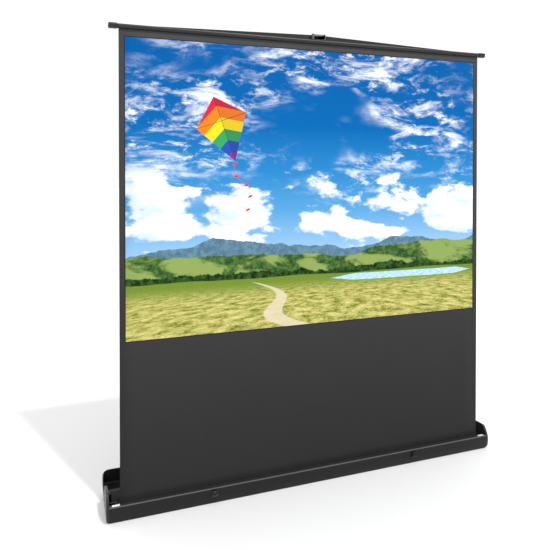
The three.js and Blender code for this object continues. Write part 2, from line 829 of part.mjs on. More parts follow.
function addCase(group) {
  put(group, 'case_channel', caseChannel(), 'black_metal');
  for (const [name, side] of sides) {
    put(group, `end_cap_${name}`, endCap(side), 'gloss_black');
    put(group, `ledge_plate_${name}`, ledgePlate(side), 'bright_metal');
    put(group, `hinge_leaf_case_${name}`, caseLeaf(side * hinge_spacing), 'black_metal');
    put(group, `hinge_pin_${name}`, hingePin(side * hinge_spacing), 'grey_metal');
    screwPlaces().forEach(([y, z], index) => {
      put(group, `cap_screw_${name}_${index + 1}`, capScrew(side, y, z, 0), 'grey_metal');
    });
  }
}

function addRoller(group) {
  put(group, 'roller_bracket_left', rollerBracket(-1), 'grey_metal');
  put(group, 'roller_bracket_right', rollerBracket(1), 'grey_metal');
  const spring_reach = plug_length + spring_length + spindle_reach;
  put(group, 'spindle_left', spindle(-1, spindle_end - roller_half + spring_reach), 'bright_metal');
  put(group, 'spindle_right', spindle(1, spindle_end - roller_half + spindle_reach), 'bright_metal');
  put(group, 'roller_spring', rollerSpring(), 'grey_metal');
  put(group, 'roller_tube', rollerTube(), 'grey_metal');
  put(group, 'roller_plug_left', rollerPlug(-1), 'gloss_black');
  put(group, 'roller_plug_right', rollerPlug(1), 'gloss_black');
  put(group, 'cloth_roll', clothRoll(), 'cloth');
  put(group, 'screen_cloth', screenCloth(), 'cloth');
}

function addRail(group) {
  put(group, 'top_rail', topRail(), 'black_metal');
  put(group, 'rail_cap_left', railCap(-1), 'gloss_black');
  put(group, 'rail_cap_right', railCap(1), 'gloss_black');
  put(group, 'rail_stiffener', railStiffener(), 'black_metal');
  put(group, 'pull_handle', pullHandle(), 'gloss_black');
  put(group, 'handle_bar', handleBar(), 'bright_metal');
}

// An arm at its place: side 1 has its foot to the right of the middle and leans left, side -1 the other way
function addArm(group, name, side, level, x, z, lean) {
  const arm = new THREE.Group();
  arm.position.set(side * x, layer(level), z);
  arm.rotation.y = side * lean;
  put(arm, name, frameArm(), 'black_metal');
  group.add(arm);
}

function addFrame(group) {
  const elbow_x = pivot_spread - elbow_offset;
  put(group, 'foot_channel', footChannel(), 'grey_metal');
  put(group, 'head_channel', headChannel(), 'black_metal');
  for (const name of ['a', 'b']) {
    put(group, `foot_pin_${name}`, footPin(name), 'bright_metal');
    put(group, `head_pin_${name}`, headPin(name), 'bright_metal');
  }
  addArm(group, 'lower_arm_a', 1, 0, pivot_spread, foot_pivot_height, -frame_angle);
  addArm(group, 'upper_arm_a', 1, 1, elbow_x, elbow_height, frame_angle);
  addArm(group, 'upper_arm_b', -1, 2, elbow_x, elbow_height, frame_angle);
  addArm(group, 'lower_arm_b', -1, 3, pivot_spread, foot_pivot_height, -frame_angle);
  put(group, 'elbow_pin_a', framePin(elbow_x, elbow_height, layer(0), layer(1) + arm_thickness), 'bright_metal');
  put(group, 'elbow_pin_b', framePin(-elbow_x, elbow_height, layer(2), layer(3) + arm_thickness), 'bright_metal');
}

// The lid and what is on it, made closed and then swung open about the hinge
function addLid(group) {
  const hinge = new THREE.Group();
  const lid = new THREE.Group();
  hinge.position.set(0, hinge_y, hinge_z);
  hinge.rotation.x = -THREE.MathUtils.degToRad(lid_open_angle);
  lid.position.set(0, -hinge_y, -hinge_z);
  put(lid, 'lid_shell', lidShell(), 'black_metal');
  put(lid, 'lid_end_left', lidEnd(-1), 'gloss_black');
  put(lid, 'lid_end_right', lidEnd(1), 'gloss_black');
  for (const [name, side] of sides) {
    put(lid, `hinge_leaf_lid_${name}`, lidLeaf(side * hinge_spacing), 'black_metal');
    put(lid, `lid_strike_${name}`, lidStrike(side * latch_spacing), 'grey_metal');
  }
  put(lid, 'strap_post_left', strapPost(-1), 'gloss_black');
  put(lid, 'strap_post_right', strapPost(1), 'gloss_black');
  put(lid, 'carry_strap', strapBand(0), 'rubber');
  hinge.add(lid);
  group.add(hinge);
}

function addLatch(group, side_name, x) {
  put(group, `latch_plate_${side_name}`, latchPlate(x), 'gloss_black');
  put(group, `latch_lever_${side_name}`, latchLever(x), 'gloss_black');
  put(group, `latch_loop_${side_name}`, latchLoop(x), 'gloss_black');
}

const screen = new THREE.Group();
addCase(screen);
addRoller(screen);
addRail(screen);
addFrame(screen);
addLid(screen);
addLatch(screen, 'left', -latch_spacing);
addLatch(screen, 'right', latch_spacing);

export default screen;
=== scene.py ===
# Portable projector screen: finishes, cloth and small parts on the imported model, in a plain pale studio.
import json
import math

import bmesh
import bpy
from mathutils import Matrix, Vector


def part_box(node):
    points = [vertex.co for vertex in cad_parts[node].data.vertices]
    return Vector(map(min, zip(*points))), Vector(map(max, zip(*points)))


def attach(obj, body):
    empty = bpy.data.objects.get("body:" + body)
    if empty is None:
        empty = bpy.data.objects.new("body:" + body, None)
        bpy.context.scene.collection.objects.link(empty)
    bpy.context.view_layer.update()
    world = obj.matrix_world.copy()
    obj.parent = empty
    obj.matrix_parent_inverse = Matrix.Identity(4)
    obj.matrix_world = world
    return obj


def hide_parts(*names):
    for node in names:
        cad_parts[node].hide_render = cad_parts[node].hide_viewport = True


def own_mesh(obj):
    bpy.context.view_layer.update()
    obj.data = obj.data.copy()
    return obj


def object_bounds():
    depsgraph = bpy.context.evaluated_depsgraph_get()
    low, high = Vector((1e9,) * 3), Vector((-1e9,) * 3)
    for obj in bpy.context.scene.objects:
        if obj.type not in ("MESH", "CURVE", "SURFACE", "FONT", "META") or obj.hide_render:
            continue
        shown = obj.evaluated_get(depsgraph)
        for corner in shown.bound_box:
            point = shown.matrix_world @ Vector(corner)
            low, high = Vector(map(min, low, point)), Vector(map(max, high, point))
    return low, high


bl_info = {
    "name": "Portable projector screen",
    "version": (1, 0, 0),
    "blender": (4, 5, 0),
    "location": "View3D > Sidebar > Projector Screen",
    "description": "Dresses the packed model of a pull-up projector screen and sets up its studio",
    "category": "Object",
}

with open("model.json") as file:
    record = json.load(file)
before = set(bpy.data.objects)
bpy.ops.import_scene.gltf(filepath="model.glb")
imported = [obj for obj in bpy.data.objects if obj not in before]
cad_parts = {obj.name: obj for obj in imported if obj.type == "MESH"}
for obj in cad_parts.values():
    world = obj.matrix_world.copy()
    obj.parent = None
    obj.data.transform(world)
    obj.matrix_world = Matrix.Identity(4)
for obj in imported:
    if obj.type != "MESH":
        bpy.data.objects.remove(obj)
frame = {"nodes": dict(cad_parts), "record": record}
cad_low, cad_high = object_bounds()

behaviour = frame["record"]["behaviour"]
body_of_node = {node: body for body, nodes in behaviour["bodies"].items() for node in nodes}
joint_named = {joint["name"]: joint for joint in behaviour["joints"]}
slot_of_node = {part["node"]: part["material_slot"] for part in frame["record"]["subparts"]}

cloth_low, cloth_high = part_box("screen_cloth")
roll_low, roll_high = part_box("cloth_roll")
tube_low, tube_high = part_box("roller_tube")
rail_low, rail_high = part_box("top_rail")
plate_low, plate_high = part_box("ledge_plate_right")
leaf_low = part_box("hinge_leaf_case_right")[0]

# The studio's camera and main light, fitted to the photograph
camera_place = (-0.7840, -1.7541, 1.0237)
camera_turn = (math.radians(89.3), 0, math.radians(-20.08))
camera_lens = 37.88
camera_shift = -0.18
sensor_width = 36.0
light_direction = Vector((-0.357, 0.922, -1.43))
light_spread = math.radians(2.5)
floor_half = 30.0

# Width to height of the picture, for its kite, and rounded for the grain of its clouds and hills
picture_ratio = 1.383
grain_ratio = 1.38

sides = ("left", "right")

# For each kind of rounded piece: its finish, its edge round as a share of the setting, and the round's segments
dressings = {
    "case_channel": ("case_paint", 1.2, 3),
    "end_cap": ("plastic", 2.4, 3),
    "hinge_leaf_case": ("paint", 0.6, 2),
    "ledge_plate": ("ledge", 0.3, 2),
    "roller_plug": ("plastic", 0.8, 2),
    "spindle": ("bar", 1.0, 2),
    "roller_bracket": ("dark_steel", 1.0, 2),
    "top_rail": ("rail_paint", 0.8, 2),
    "rail_stiffener": ("rail_paint", 1.4, 2),
    "rail_cap": ("plastic", 7.0, 5),
    "pull_handle": ("handle", 2.0, 3),
    "handle_bar": ("handle_bar", 1.6, 2),
    "lower_arm": ("arm_paint", 1.2, 2),
    "upper_arm": ("arm_paint", 1.2, 2),
    "foot_pin": ("bright", 0.8, 2),
    "elbow_pin": ("bright", 0.8, 2),
    "head_pin": ("bright", 0.8, 2),
    "foot_channel": ("steel", 0.8, 2),
    "head_channel": ("paint", 0.8, 2),
    "lid_shell": ("paint", 1.0, 2),
    "lid_end": ("plastic", 1.6, 2),
    "hinge_leaf_lid": ("paint", 0.6, 2),
    "lid_strike": ("steel", 0.8, 2),
    "strap_post": ("plastic", 3.0, 3),
    "carry_strap": ("webbing", 1.6, 2),
    "latch_plate": ("plastic", 0.8, 2),
    "latch_lever": ("gloss", 1.2, 2),
    "latch_loop": ("plastic", 0.8, 2),
}


# Settings that a user would change


class ClothSettings(bpy.types.PropertyGroup):
    thickness: bpy.props.FloatProperty(
        name="Cloth thickness", description="Thickness of the coated cloth", default=0.0004, unit="LENGTH",
        precision=5,
    )
    picture_width: bpy.props.FloatProperty(
        name="Picture width", description="Width of the bright picture area", default=1.231, unit="LENGTH"
    )
    picture_height: bpy.props.FloatProperty(
        name="Picture height", description="Height of the bright picture area", default=0.890, unit="LENGTH"
    )
    top_border: bpy.props.FloatProperty(
        name="Top border", description="Black border between the picture and the rail", default=0.0225,
        unit="LENGTH",
    )
    # Painted light: the picture glows by itself, standing in for a projector's light; there is no projector
    # lamp.
    glow: bpy.props.FloatProperty(
        name="Picture glow", description="How brightly the projected picture shines by itself", default=0.08
    )
    black: bpy.props.FloatVectorProperty(
        name="Border black", description="Colour of the black cloth", subtype="COLOR",
        default=(0.0245, 0.0245, 0.0250),
    )


class FinishSettings(bpy.types.PropertyGroup):
    paint: bpy.props.FloatVectorProperty(
        name="Satin paint", description="Colour of the painted metal", subtype="COLOR",
        default=(0.016, 0.016, 0.017),
    )
    plastic: bpy.props.FloatVectorProperty(
        name="Moulded plastic", description="Colour of the black mouldings", subtype="COLOR",
        default=(0.008, 0.008, 0.0088),
    )
    steel: bpy.props.FloatVectorProperty(
        name="Plated steel", description="Colour of the plated brackets", subtype="COLOR",
        default=(0.36, 0.365, 0.375),
    )
    bright: bpy.props.FloatVectorProperty(
        name="Bright steel", description="Colour of pins and the handle's bar", subtype="COLOR",
        default=(0.66, 0.66, 0.67),
    )
    edge: bpy.props.FloatProperty(
        name="Edge round", description="Size of the small round on sheet metal edges", default=0.0005,
        unit="LENGTH", precision=5,
    )


class StudioSettings(bpy.types.PropertyGroup):
    floor: bpy.props.FloatVectorProperty(
        name="Floor", description="Colour of the pale floor", subtype="COLOR", default=(0.91, 0.91, 0.91)
    )
    surround: bpy.props.FloatProperty(
        name="Surround light", description="Strength of the even light all round", default=1.05
    )
    key: bpy.props.FloatProperty(
        name="Main light", description="Strength of the soft light from the front and above", default=1.33
    )


# Materials


class Wire:
    """A shader value. Ordinary arithmetic on it adds Math nodes."""

    def __init__(self, finish, socket):
        self.finish = finish
        self.socket = socket

    def maths(self, operation, *values):
        return self.finish.node("ShaderNodeMath", {"operation": operation}, dict(enumerate(values)))

    def __add__(self, other):
        return self.maths("ADD", self, other)

    __radd__ = __add__

    def __sub__(self, other):
        return self.maths("SUBTRACT", self, other)

    def __rsub__(self, other):
        return self.maths("SUBTRACT", other, self)

    def __mul__(self, other):
        return self.maths("MULTIPLY", self, other)

    __rmul__ = __mul__

    def __truediv__(self, other):
        return self.maths("DIVIDE", self, other)

    def __rtruediv__(self, other):
        return self.maths("DIVIDE", other, self)

    def __abs__(self):
        return self.maths("ABSOLUTE", self)

    def sine(self):
        return self.maths("SINE", self)

    def least(self, other):
        return self.maths("MINIMUM", self, other)

    def most(self, other):
        return self.maths("MAXIMUM", self, other)

    def above(self, low, high):
        """0 below low, 1 above high, and smooth between them."""
        return self.finish.node(
            "ShaderNodeMapRange",
            {"interpolation_type": "SMOOTHSTEP"},
            {"Value": self, "From Min": low, "From Max": high},
        )

    def below(self, low, high):
        """1 below low, 0 above high, and smooth between them."""
        return 1 - self.above(low, high)

    def band(self, start, full, fade, end):
        """0 up to start, 1 from full to fade, 0 from end on, and smooth between them."""
        return self.above(start, full) * self.below(fade, end)


class Finish:
    """A material in the making, with the one method that adds nodes to it."""

    def __init__(self, name, **constants):
        self.material = bpy.data.materials.new(name)
        self.material.use_nodes = True
        self.tree = self.material.node_tree
        self.shader = self.tree.nodes["Principled BSDF"]
        for socket, value in constants.items():
            self.feed(socket.replace("_", " "), value)

    def put(self, socket, value):
        if isinstance(value, Wire):
            self.tree.links.new(value.socket, socket)
        elif isinstance(value, (int, float)):
            socket.default_value = value
        elif len(socket.default_value) == 4:
            socket.default_value = (*value[:3], 1.0)
        else:
            socket.default_value = tuple(value)

    def node(self, kind, settings=None, values=None, output=0):
        """Adds a node, sets it up and fills its sockets. Gives the wire of one output."""
        made = self.tree.nodes.new(kind)
        for name, value in (settings or {}).items():
            if name == "stops":
                self.set_stops(made.color_ramp, value)
            elif name == "spread":
                made.color_ramp.interpolation = value
            else:
                setattr(made, name, value)
        for name, value in (values or {}).items():
            self.put(made.inputs[name], value)
        return Wire(self, made.outputs[output])

    def set_stops(self, ramp, stops):
        while len(ramp.elements) < len(stops):
            ramp.elements.new(1.0)
        for element, (place, color) in zip(ramp.elements, stops):
            element.position = place
            element.color = (*color, 1.0)

    def feed(self, socket, value):
        self.put(self.shader.inputs[socket], value)

    def fed(self, socket):
        """The wire that already feeds a socket of the shader."""
        return Wire(self, self.shader.inputs[socket].links[0].from_socket)

    def coordinates(self, source="Object"):
        return self.node("ShaderNodeTexCoord", output=source)

    def stretched(self, vector, scale, turn=(0, 0, 0), shift=(0, 0, 0)):
        values = {"Vector": vector, "Scale": scale, "Rotation": turn, "Location": shift}
        return self.node("ShaderNodeMapping", {"vector_type": "POINT"}, values)

    def grain(self, vector, scale=1.0, detail=2.0, rough=0.5, warp=0.0):
        values = {"Vector": vector, "Scale": scale, "Detail": detail, "Roughness": rough}
        return self.node("ShaderNodeTexNoise", None, {**values, "Distortion": warp})

    def grain_along(self, place, scale, detail=2.0, rough=0.5):
        """Noise that changes along one value only."""
        values = {"W": place, "Scale": scale, "Detail": detail, "Roughness": rough}
        return self.node("ShaderNodeTexNoise", {"noise_dimensions": "1D"}, values)

    def part(self, vector, axis):
        return self.node("ShaderNodeSeparateXYZ", None, {"Vector": vector}, output=axis)

    def joined(self, x, y, z=0.0):
        return self.node("ShaderNodeCombineXYZ", None, {"X": x, "Y": y, "Z": z})

    def blend(self, share, first, second):
        """Colour first where share is 0 and second where it is 1."""
        return self.node("ShaderNodeMix", {"data_type": "RGBA"}, {0: share, 6: first, 7: second}, output=2)

    def ramp(self, value, stops, spread="LINEAR"):
        return self.node("ShaderNodeValToRGB", {"stops": stops, "spread": spread}, {"Fac": value})

    def bumps(self, height, strength=0.2, depth=0.001):
        values = {"Height": height, "Strength": strength, "Distance": depth}
        self.feed("Normal", self.node("ShaderNodeBump", None, values))


def shade(color, share):
    return tuple(channel * share for channel in color[:3])


def painted_extrusion(name, color, along="X", gleam=0.5):
    """Satin paint on a drawn aluminium section, with faint drawing lines along its length."""
    finish = Finish(name, IOR=1.5, Specular_IOR_Level=gleam)
    place = finish.coordinates()
    scale = {"X": (3, 420, 420), "Z": (420, 420, 3)}[along]
    lines = finish.grain(finish.stretched(place, scale), detail=3, rough=0.6)
    clouds = finish.grain(place, scale=9, detail=4, rough=0.55)
    speck = finish.grain(place, scale=1600, detail=1)
    tone = lines * 0.5 + clouds * 0.5
    finish.feed("Base Color", finish.blend(tone, shade(color, 0.82), shade(color, 1.22)))
    finish.feed("Roughness", 0.34 + clouds * 0.12 + lines * 0.08)
    finish.bumps(lines * 0.4 + speck * 0.6, strength=0.10, depth=0.0004)
    return finish


def case_paint(color):
    """Satin paint, with painted light making the rear wall's inner face and the lip's ledge paler, and a
    painted highlight along the lip's edge.
    """
    finish = painted_extrusion("case_satin_black", color, gleam=0.22)
    place = finish.coordinates()
    height = finish.part(place, "Z")
    depth = finish.part(place, "Y")
    highlight_breakup = finish.grain(finish.stretched(place, (30, 300, 300)), detail=4)
    ledge_top = plate_low.z
    ledge_front = plate_low.y
    ledge_back = plate_high.y + 0.003
    inner_face = leaf_low.y - 0.0028
    # Painted highlight: a paler band along the lip's front top edge, standing in for the light its rounded edge
    # catches.
    lip_edge_highlight = height.above(ledge_top - 0.0032, ledge_top - 0.0024)
    lip_edge_highlight *= depth.below(ledge_front, ledge_front + 0.0012)
    # Painted light: the ledge's top is made paler, which lifts the shade it lies in behind the lip.
    ledge = height.above(ledge_top - 0.0012, ledge_top - 0.0008) * depth.below(ledge_back, ledge_back + 0.001)
    # Painted light: the rear wall's inner face is made much paler, which lifts the deep shade it lies in inside
    # the trough.
    inside = depth.band(inner_face - 0.0008, inner_face - 0.0002, inner_face + 0.0004, inner_face + 0.0010)
    color = finish.blend(inside, finish.fed("Base Color"), (0.170, 0.170, 0.173))
    color = finish.blend(ledge * 0.4, color, (0.055, 0.055, 0.057))
    color = finish.blend(lip_edge_highlight * (0.7 + highlight_breakup * 0.3), color, (0.120, 0.120, 0.123))
    finish.feed("Base Color", color)
    return finish.material


def rail_paint(color):
    """The rail's satin paint, with a painted highlight along its top front edge in the middle."""
    finish = painted_extrusion("rail_satin_black", color, gleam=0.4)
    place = finish.coordinates()
    height = finish.part(place, "Z")
    depth = finish.part(place, "Y")
    middle = abs(finish.part(place, "X")).below(0.20, 0.52)
    # Painted highlight: a paler line along the rail's top front edge, standing in for the light it catches.
    top_edge_highlight = height.above(rail_high.z - 0.0048, rail_high.z - 0.0036)
    top_edge_highlight *= depth.below(rail_low.y, rail_low.y + 0.004)
    color = finish.blend(top_edge_highlight * middle, finish.fed("Base Color"), (0.085, 0.085, 0.087))
    finish.feed("Base Color", color)
    return finish.material


def moulded_plastic(name, color, gloss):
    """Black moulding with a fine spark grain and slight flow marks."""
    finish = Finish(name, IOR=1.46)
    place = finish.coordinates()
    spark = finish.node("ShaderNodeTexVoronoi", None, {"Vector": place, "Scale": 1500.0})
    flow = finish.grain(place, scale=22, detail=3, rough=0.5, warp=0.6)
    finish.feed("Base Color", finish.blend(flow, shade(color, 0.85), shade(color, 1.25)))
    finish.feed("Roughness", gloss + flow * 0.10)
    finish.bumps(spark, strength=0.12, depth=0.0002)
    return finish.material


def brushed_metal(name, color, along, rough):
    """Metal with fine brush or turning lines along one axis."""
    finish = Finish(name, Metallic=1.0)
    place = finish.coordinates()
    scale = {"X": (8, 1400, 1400), "Y": (1400, 8, 1400), "Z": (1400, 1400, 8)}[along]
    lines = finish.grain(finish.stretched(place, scale), detail=3, rough=0.65)
    stain = finish.grain(place, scale=40, detail=4)
    tone = lines * 0.7 + stain * 0.3
    finish.feed("Base Color", finish.blend(tone, shade(color, 0.88), shade(color, 1.12)))
    finish.feed("Roughness", rough + lines * 0.12 + stain * 0.06)
    finish.bumps(lines, strength=0.08, depth=0.0002)
    return finish.material


def ledge_metal(name, color):
    """Pale, finely blasted aluminium."""
    finish = Finish(name, Metallic=0.35)
    place = finish.coordinates()
    speck = finish.grain(place, scale=1400, detail=3)
    finish.feed("Base Color", finish.blend(speck, shade(color, 0.96), color))
    finish.feed("Roughness", 0.38 + speck * 0.12)
    finish.bumps(speck, strength=0.05, depth=0.0001)
    return finish.material


def plated_steel(name, color):
    """Zinc plate with its mottled, slightly clouded surface."""
    finish = Finish(name, Metallic=0.95)
    place = finish.coordinates()
    crystal = finish.node("ShaderNodeTexVoronoi", None, {"Vector": place, "Scale": 160.0}, "Color")
    cloud = finish.grain(place, scale=30, detail=5, rough=0.6)
    mix = finish.part(crystal, "X") * 0.45 + cloud * 0.55
    finish.feed("Base Color", finish.blend(mix, shade(color, 0.8), shade(color, 1.2)))
    finish.feed("Roughness", 0.34 + mix * 0.2)
    finish.bumps(cloud, strength=0.06, depth=0.0004)
    return finish.material


def webbing(name):
    """Woven black strap: ribs across it and fine threads along it, on its own layout."""
    finish = Finish(name, Sheen_Weight=0.15)
    layout = finish.coordinates("UV")
    across = finish.part(layout, "X")
    along = finish.part(layout, "Y")
    ribs = (along * 2200.0).sine() * 0.5 + 0.5
    threads = (across * 4200.0).sine() * 0.5 + 0.5
    weave = ribs * 0.6 + threads * 0.4
    fuzz = finish.grain(layout, scale=900, detail=3)
    tone = weave * 0.7 + fuzz * 0.3
    finish.feed("Base Color", finish.blend(tone, (0.008, 0.008, 0.009), (0.040, 0.040, 0.042)))
    finish.feed("Roughness", 0.72 + fuzz * 0.2)
    finish.bumps(weave, strength=0.5, depth=0.0003)
    return finish.material


def cloth_weave(finish, layout):
    """Height of the cloth's fine weave, one thread to the millimetre, under its matt coating."""
    threads = 6300.0
    warp = (finish.part(layout, "X") * threads).sine()
    weft = (finish.part(layout, "Y") * threads).sine()
    fibre = finish.grain(layout, scale=500, detail=3, rough=0.6)
    return warp * weft * 0.35 + fibre * 0.65


def black_coating(finish, layout, color):
    """The cloth's matt black: cloudy, with painted light making it paler towards the rail, and painted light
    lifting the shade beside the lip and under the rail.
    """
    ledge_top = plate_low.z
    cloud = finish.grain(layout, scale=5, detail=5, rough=0.6)
    height = finish.part(layout, "Y")
    deep = finish.blend(cloud, shade(color, 0.92), shade(color, 1.08))
    # Painted light: the drop grows paler up towards the rail, as if lit more from above.
    lit_toward_rail = finish.blend(cloud, shade(color, 2.5), shade(color, 2.8))
    drop = finish.blend(height.above(0.0, rail_low.z), deep, lit_toward_rail)
    # Painted light: the cloth is made much paler just over the lip and under the rail, which lifts the shade
    # that falls there.
    at_lip = height.below(ledge_top - 0.0045, ledge_top + 0.002)
    over_lip = height.below(ledge_top, ledge_top + 0.012) * 0.10
    at_rail = height.above(rail_low.z - 0.014, rail_low.z - 0.002) * 0.25
    lifted_shade = at_lip.most(over_lip).most(at_rail)
    return finish.blend(lifted_shade, drop, shade(color, 6.5)), cloud


def black_cloth(name, color):
    """The cloth's black back and its wound turns: matt, with a fine weave."""
    finish = Finish(name, IOR=1.4, Specular_IOR_Level=0.2)
    layout = finish.coordinates("UV")
    coating, cloud = black_coating(finish, layout, color)
    finish.feed("Base Color", coating)
    finish.feed("Roughness", 0.62 + cloud * 0.12)
    finish.bumps(cloth_weave(finish, layout), strength=0.15, depth=0.0002)
    return finish.material


def sky_with_clouds(finish, across, up):
    """A blue sky with thin streaks high up and a bank of heaped clouds above the horizon."""
    sky = finish.ramp(
        up,
        (
            (0.26, (0.290, 0.490, 0.720)),
            (0.42, (0.085, 0.310, 0.600)),
            (0.55, (0.022, 0.215, 0.510)),
            (0.72, (0.0006, 0.118, 0.375)),
            (1.00, (0.0002, 0.092, 0.325)),
        ),
    )
    flat = finish.joined(across * grain_ratio, up)
    streak_at = finish.stretched(flat, (2.6, 7.5, 1), turn=(0, 0, 0.55), shift=(3.1, 1.7, 0))
    streaks = finish.grain(streak_at, 1.6, 12, 0.66, 0.55)
    fleck_at = finish.stretched(flat, (6.0, 13.0, 1), turn=(0, 0, -0.35), shift=(0.4, 6.2, 0))
    flecks = finish.grain(fleck_at, 1.7, 12, 0.7, 0.3)
    patches = finish.grain(finish.stretched(flat, (1.0, 1.4, 1), shift=(8.3, 2.1, 0)), 2.1, 3, 0.5)
    high = up.above(0.40, 0.62)
    thin = streaks.above(0.48, 0.68) * patches.above(0.40, 0.56) * high
    fleck = flecks.above(0.50, 0.66) * patches.above(0.43, 0.57) * high * 0.9
    heaps, heaps_beyond = (
        finish.grain(finish.stretched(flat, (1.7, 3.1, 1), shift=shift), 2.4, 10, 0.56, 0.15)
        for shift in ((1.3, 0.2, 0), (1.36, 0.30, 0))
    )
    bank = up.band(0.27, 0.37, 0.40, 0.60)
    heap = (heaps + bank * 0.17).above(0.575, 0.640) * up.band(0.24, 0.30, 0.52, 0.62)
    lit = (heaps - heaps_beyond).above(-0.10, 0.09)
    heap_color = finish.blend(lit, (0.58, 0.67, 0.78), (0.92, 0.93, 0.94))
    cloudy = finish.blend(thin.most(fleck), sky, (0.93, 0.96, 0.98))
    return finish.blend(heap, cloudy, heap_color)


def far_land(finish, across, up, under):
    """Blue mountains far off, green hills with woods, and a line of trees, from the sky down."""
    speckle = finish.grain(finish.joined(across * grain_ratio, up), 42, 10, 0.72, 0.2)
    mountain_top = finish.grain_along(across + 4.3, 3.4, 7, 0.52) * 0.13 + 0.232
    mountain = finish.blend(speckle.above(0.35, 0.7), (0.060, 0.145, 0.225), (0.150, 0.260, 0.330))
    color = finish.blend((mountain_top - up).above(-0.001, 0.002), under, mountain)
    hill_top = finish.grain_along(across + 9.7, 2.2, 6, 0.5) * 0.15 + 0.185 + across * 0.025
    light = finish.grain(finish.joined(across * grain_ratio, up * 1.9), 7, 6, 0.6, 0.5)
    wood = finish.blend(speckle.above(0.40, 0.66), (0.020, 0.062, 0.016), (0.100, 0.205, 0.045))
    meadow = finish.blend(light.above(0.44, 0.56), wood, (0.235, 0.330, 0.090))
    color = finish.blend((hill_top - up).above(-0.001, 0.003), color, meadow)
    trees_top = finish.grain_along(across, 34, 8, 0.6) * 0.030
    trees_top += finish.grain_along(across + 2, 5, 2) * 0.035 + 0.172
    trees = finish.blend(speckle.above(0.42, 0.62), (0.006, 0.022, 0.006), (0.040, 0.105, 0.018))
    return finish.blend((trees_top - up).above(-0.001, 0.003), color, trees)


def near_land(finish, across, up, under):
    """A long pond, a mown meadow in perspective and a pale winding track, below the trees."""
    horizon = 0.235
    track_end = 0.175
    nearness = 1 / (horizon - up).most(0.02)
    ground = finish.joined((across - 0.5) * nearness, nearness)
    rows = finish.grain(finish.stretched(ground, (3.0, 1.6, 1)), 1.5, 8, 0.68, 0.2)
    tufts = finish.grain(finish.stretched(ground, (16.0, 7.0, 1)), 2.0, 8, 0.7)
    grass = finish.ramp(
        rows * 0.6 + tufts * 0.4,
        (
            (0.40, (0.085, 0.120, 0.018)),
            (0.47, (0.300, 0.300, 0.062)),
            (0.55, (0.560, 0.510, 0.170)),
            (0.66, (0.780, 0.700, 0.340)),
        ),
    )
    fresh = finish.blend(tufts.above(0.35, 0.65), (0.075, 0.150, 0.018), (0.215, 0.310, 0.040))
    grass = finish.blend(up.above(0.11, 0.17), grass, fresh)
    meadow_top = finish.grain_along(across + 6, 4, 3) * 0.012 + 0.176
    color = finish.blend((meadow_top - up).above(-0.001, 0.002), under, grass)
    pond_middle = 0.158 + finish.grain_along(across + 1, 3, 2) * 0.008
    pond_half = 0.013 * across.band(0.52, 0.62, 0.93, 1.0)
    pond = (pond_half - abs(up - pond_middle)).above(0.0, 0.0015)
    ripples = finish.grain(ground, 6, 3).above(0.4, 0.6)
    color = finish.blend(pond, color, finish.blend(ripples, (0.20, 0.46, 0.76), (0.62, 0.79, 0.93)))
    near = track_end - up
    middle = 0.30 + (near * 34.0).sine() * 0.045 + near * 0.9
    half = 0.004 + near.most(0) * 0.20
    track = (half - abs(across - middle)).above(0.0, 0.004) * up.below(0.160, 0.172)
    return finish.blend(track * 0.85, color, finish.blend(tufts, (0.50, 0.41, 0.24), (0.80, 0.72, 0.53)))


def kite(finish, across, up, under):
    """A striped diamond kite with a waving tail, high on the left of the sky."""
    centre = (0.235, 0.735)
    tilt = 0.34
    half_width = 0.094
    right = (across - centre[0]) * picture_ratio
    high = up - centre[1]
    x = right * math.cos(tilt) + high * math.sin(tilt)
    y = high * math.cos(tilt) - right * math.sin(tilt)
    reach = y.above(-0.0001, 0.0001) * -0.062 + 0.150
    body = (1 - abs(x) / half_width - abs(y) / reach).above(0.0, 0.02)
    stripes = finish.ramp(
        (abs(x) * 0.55 + y) * 3.4 + 0.56,
        (
            (0.00, (0.240, 0.030, 0.300)),
            (0.17, (0.020, 0.075, 0.420)),
            (0.32, (0.040, 0.330, 0.100)),
            (0.46, (0.900, 0.640, 0.020)),
            (0.60, (0.850, 0.210, 0.015)),
            (0.74, (0.620, 0.020, 0.050)),
            (0.88, (0.900, 0.680, 0.060)),
        ),
        "CONSTANT",
    )
    spar = (0.0016 - abs(x).least(abs(y))).above(0.0, 0.0008)
    sides = finish.blend(x.above(-0.001, 0.001) * 0.30, stripes, (0.02, 0.02, 0.03))
    sail = finish.blend(spar * 0.7, sides, (0.05, 0.04, 0.04))
    color = finish.blend(body, under, sail)
    swing = x - ((y + 0.15) * 42.0).sine() * 0.016
    length = y.band(-0.345, -0.340, -0.150, -0.146)
    bows = (y * 150.0).sine().above(0.80, 0.95) * 0.0075 + 0.0013
    tail = (bows - abs(swing)).above(0.0, 0.001) * length
    return finish.blend(tail, color, (0.70, 0.04, 0.05))


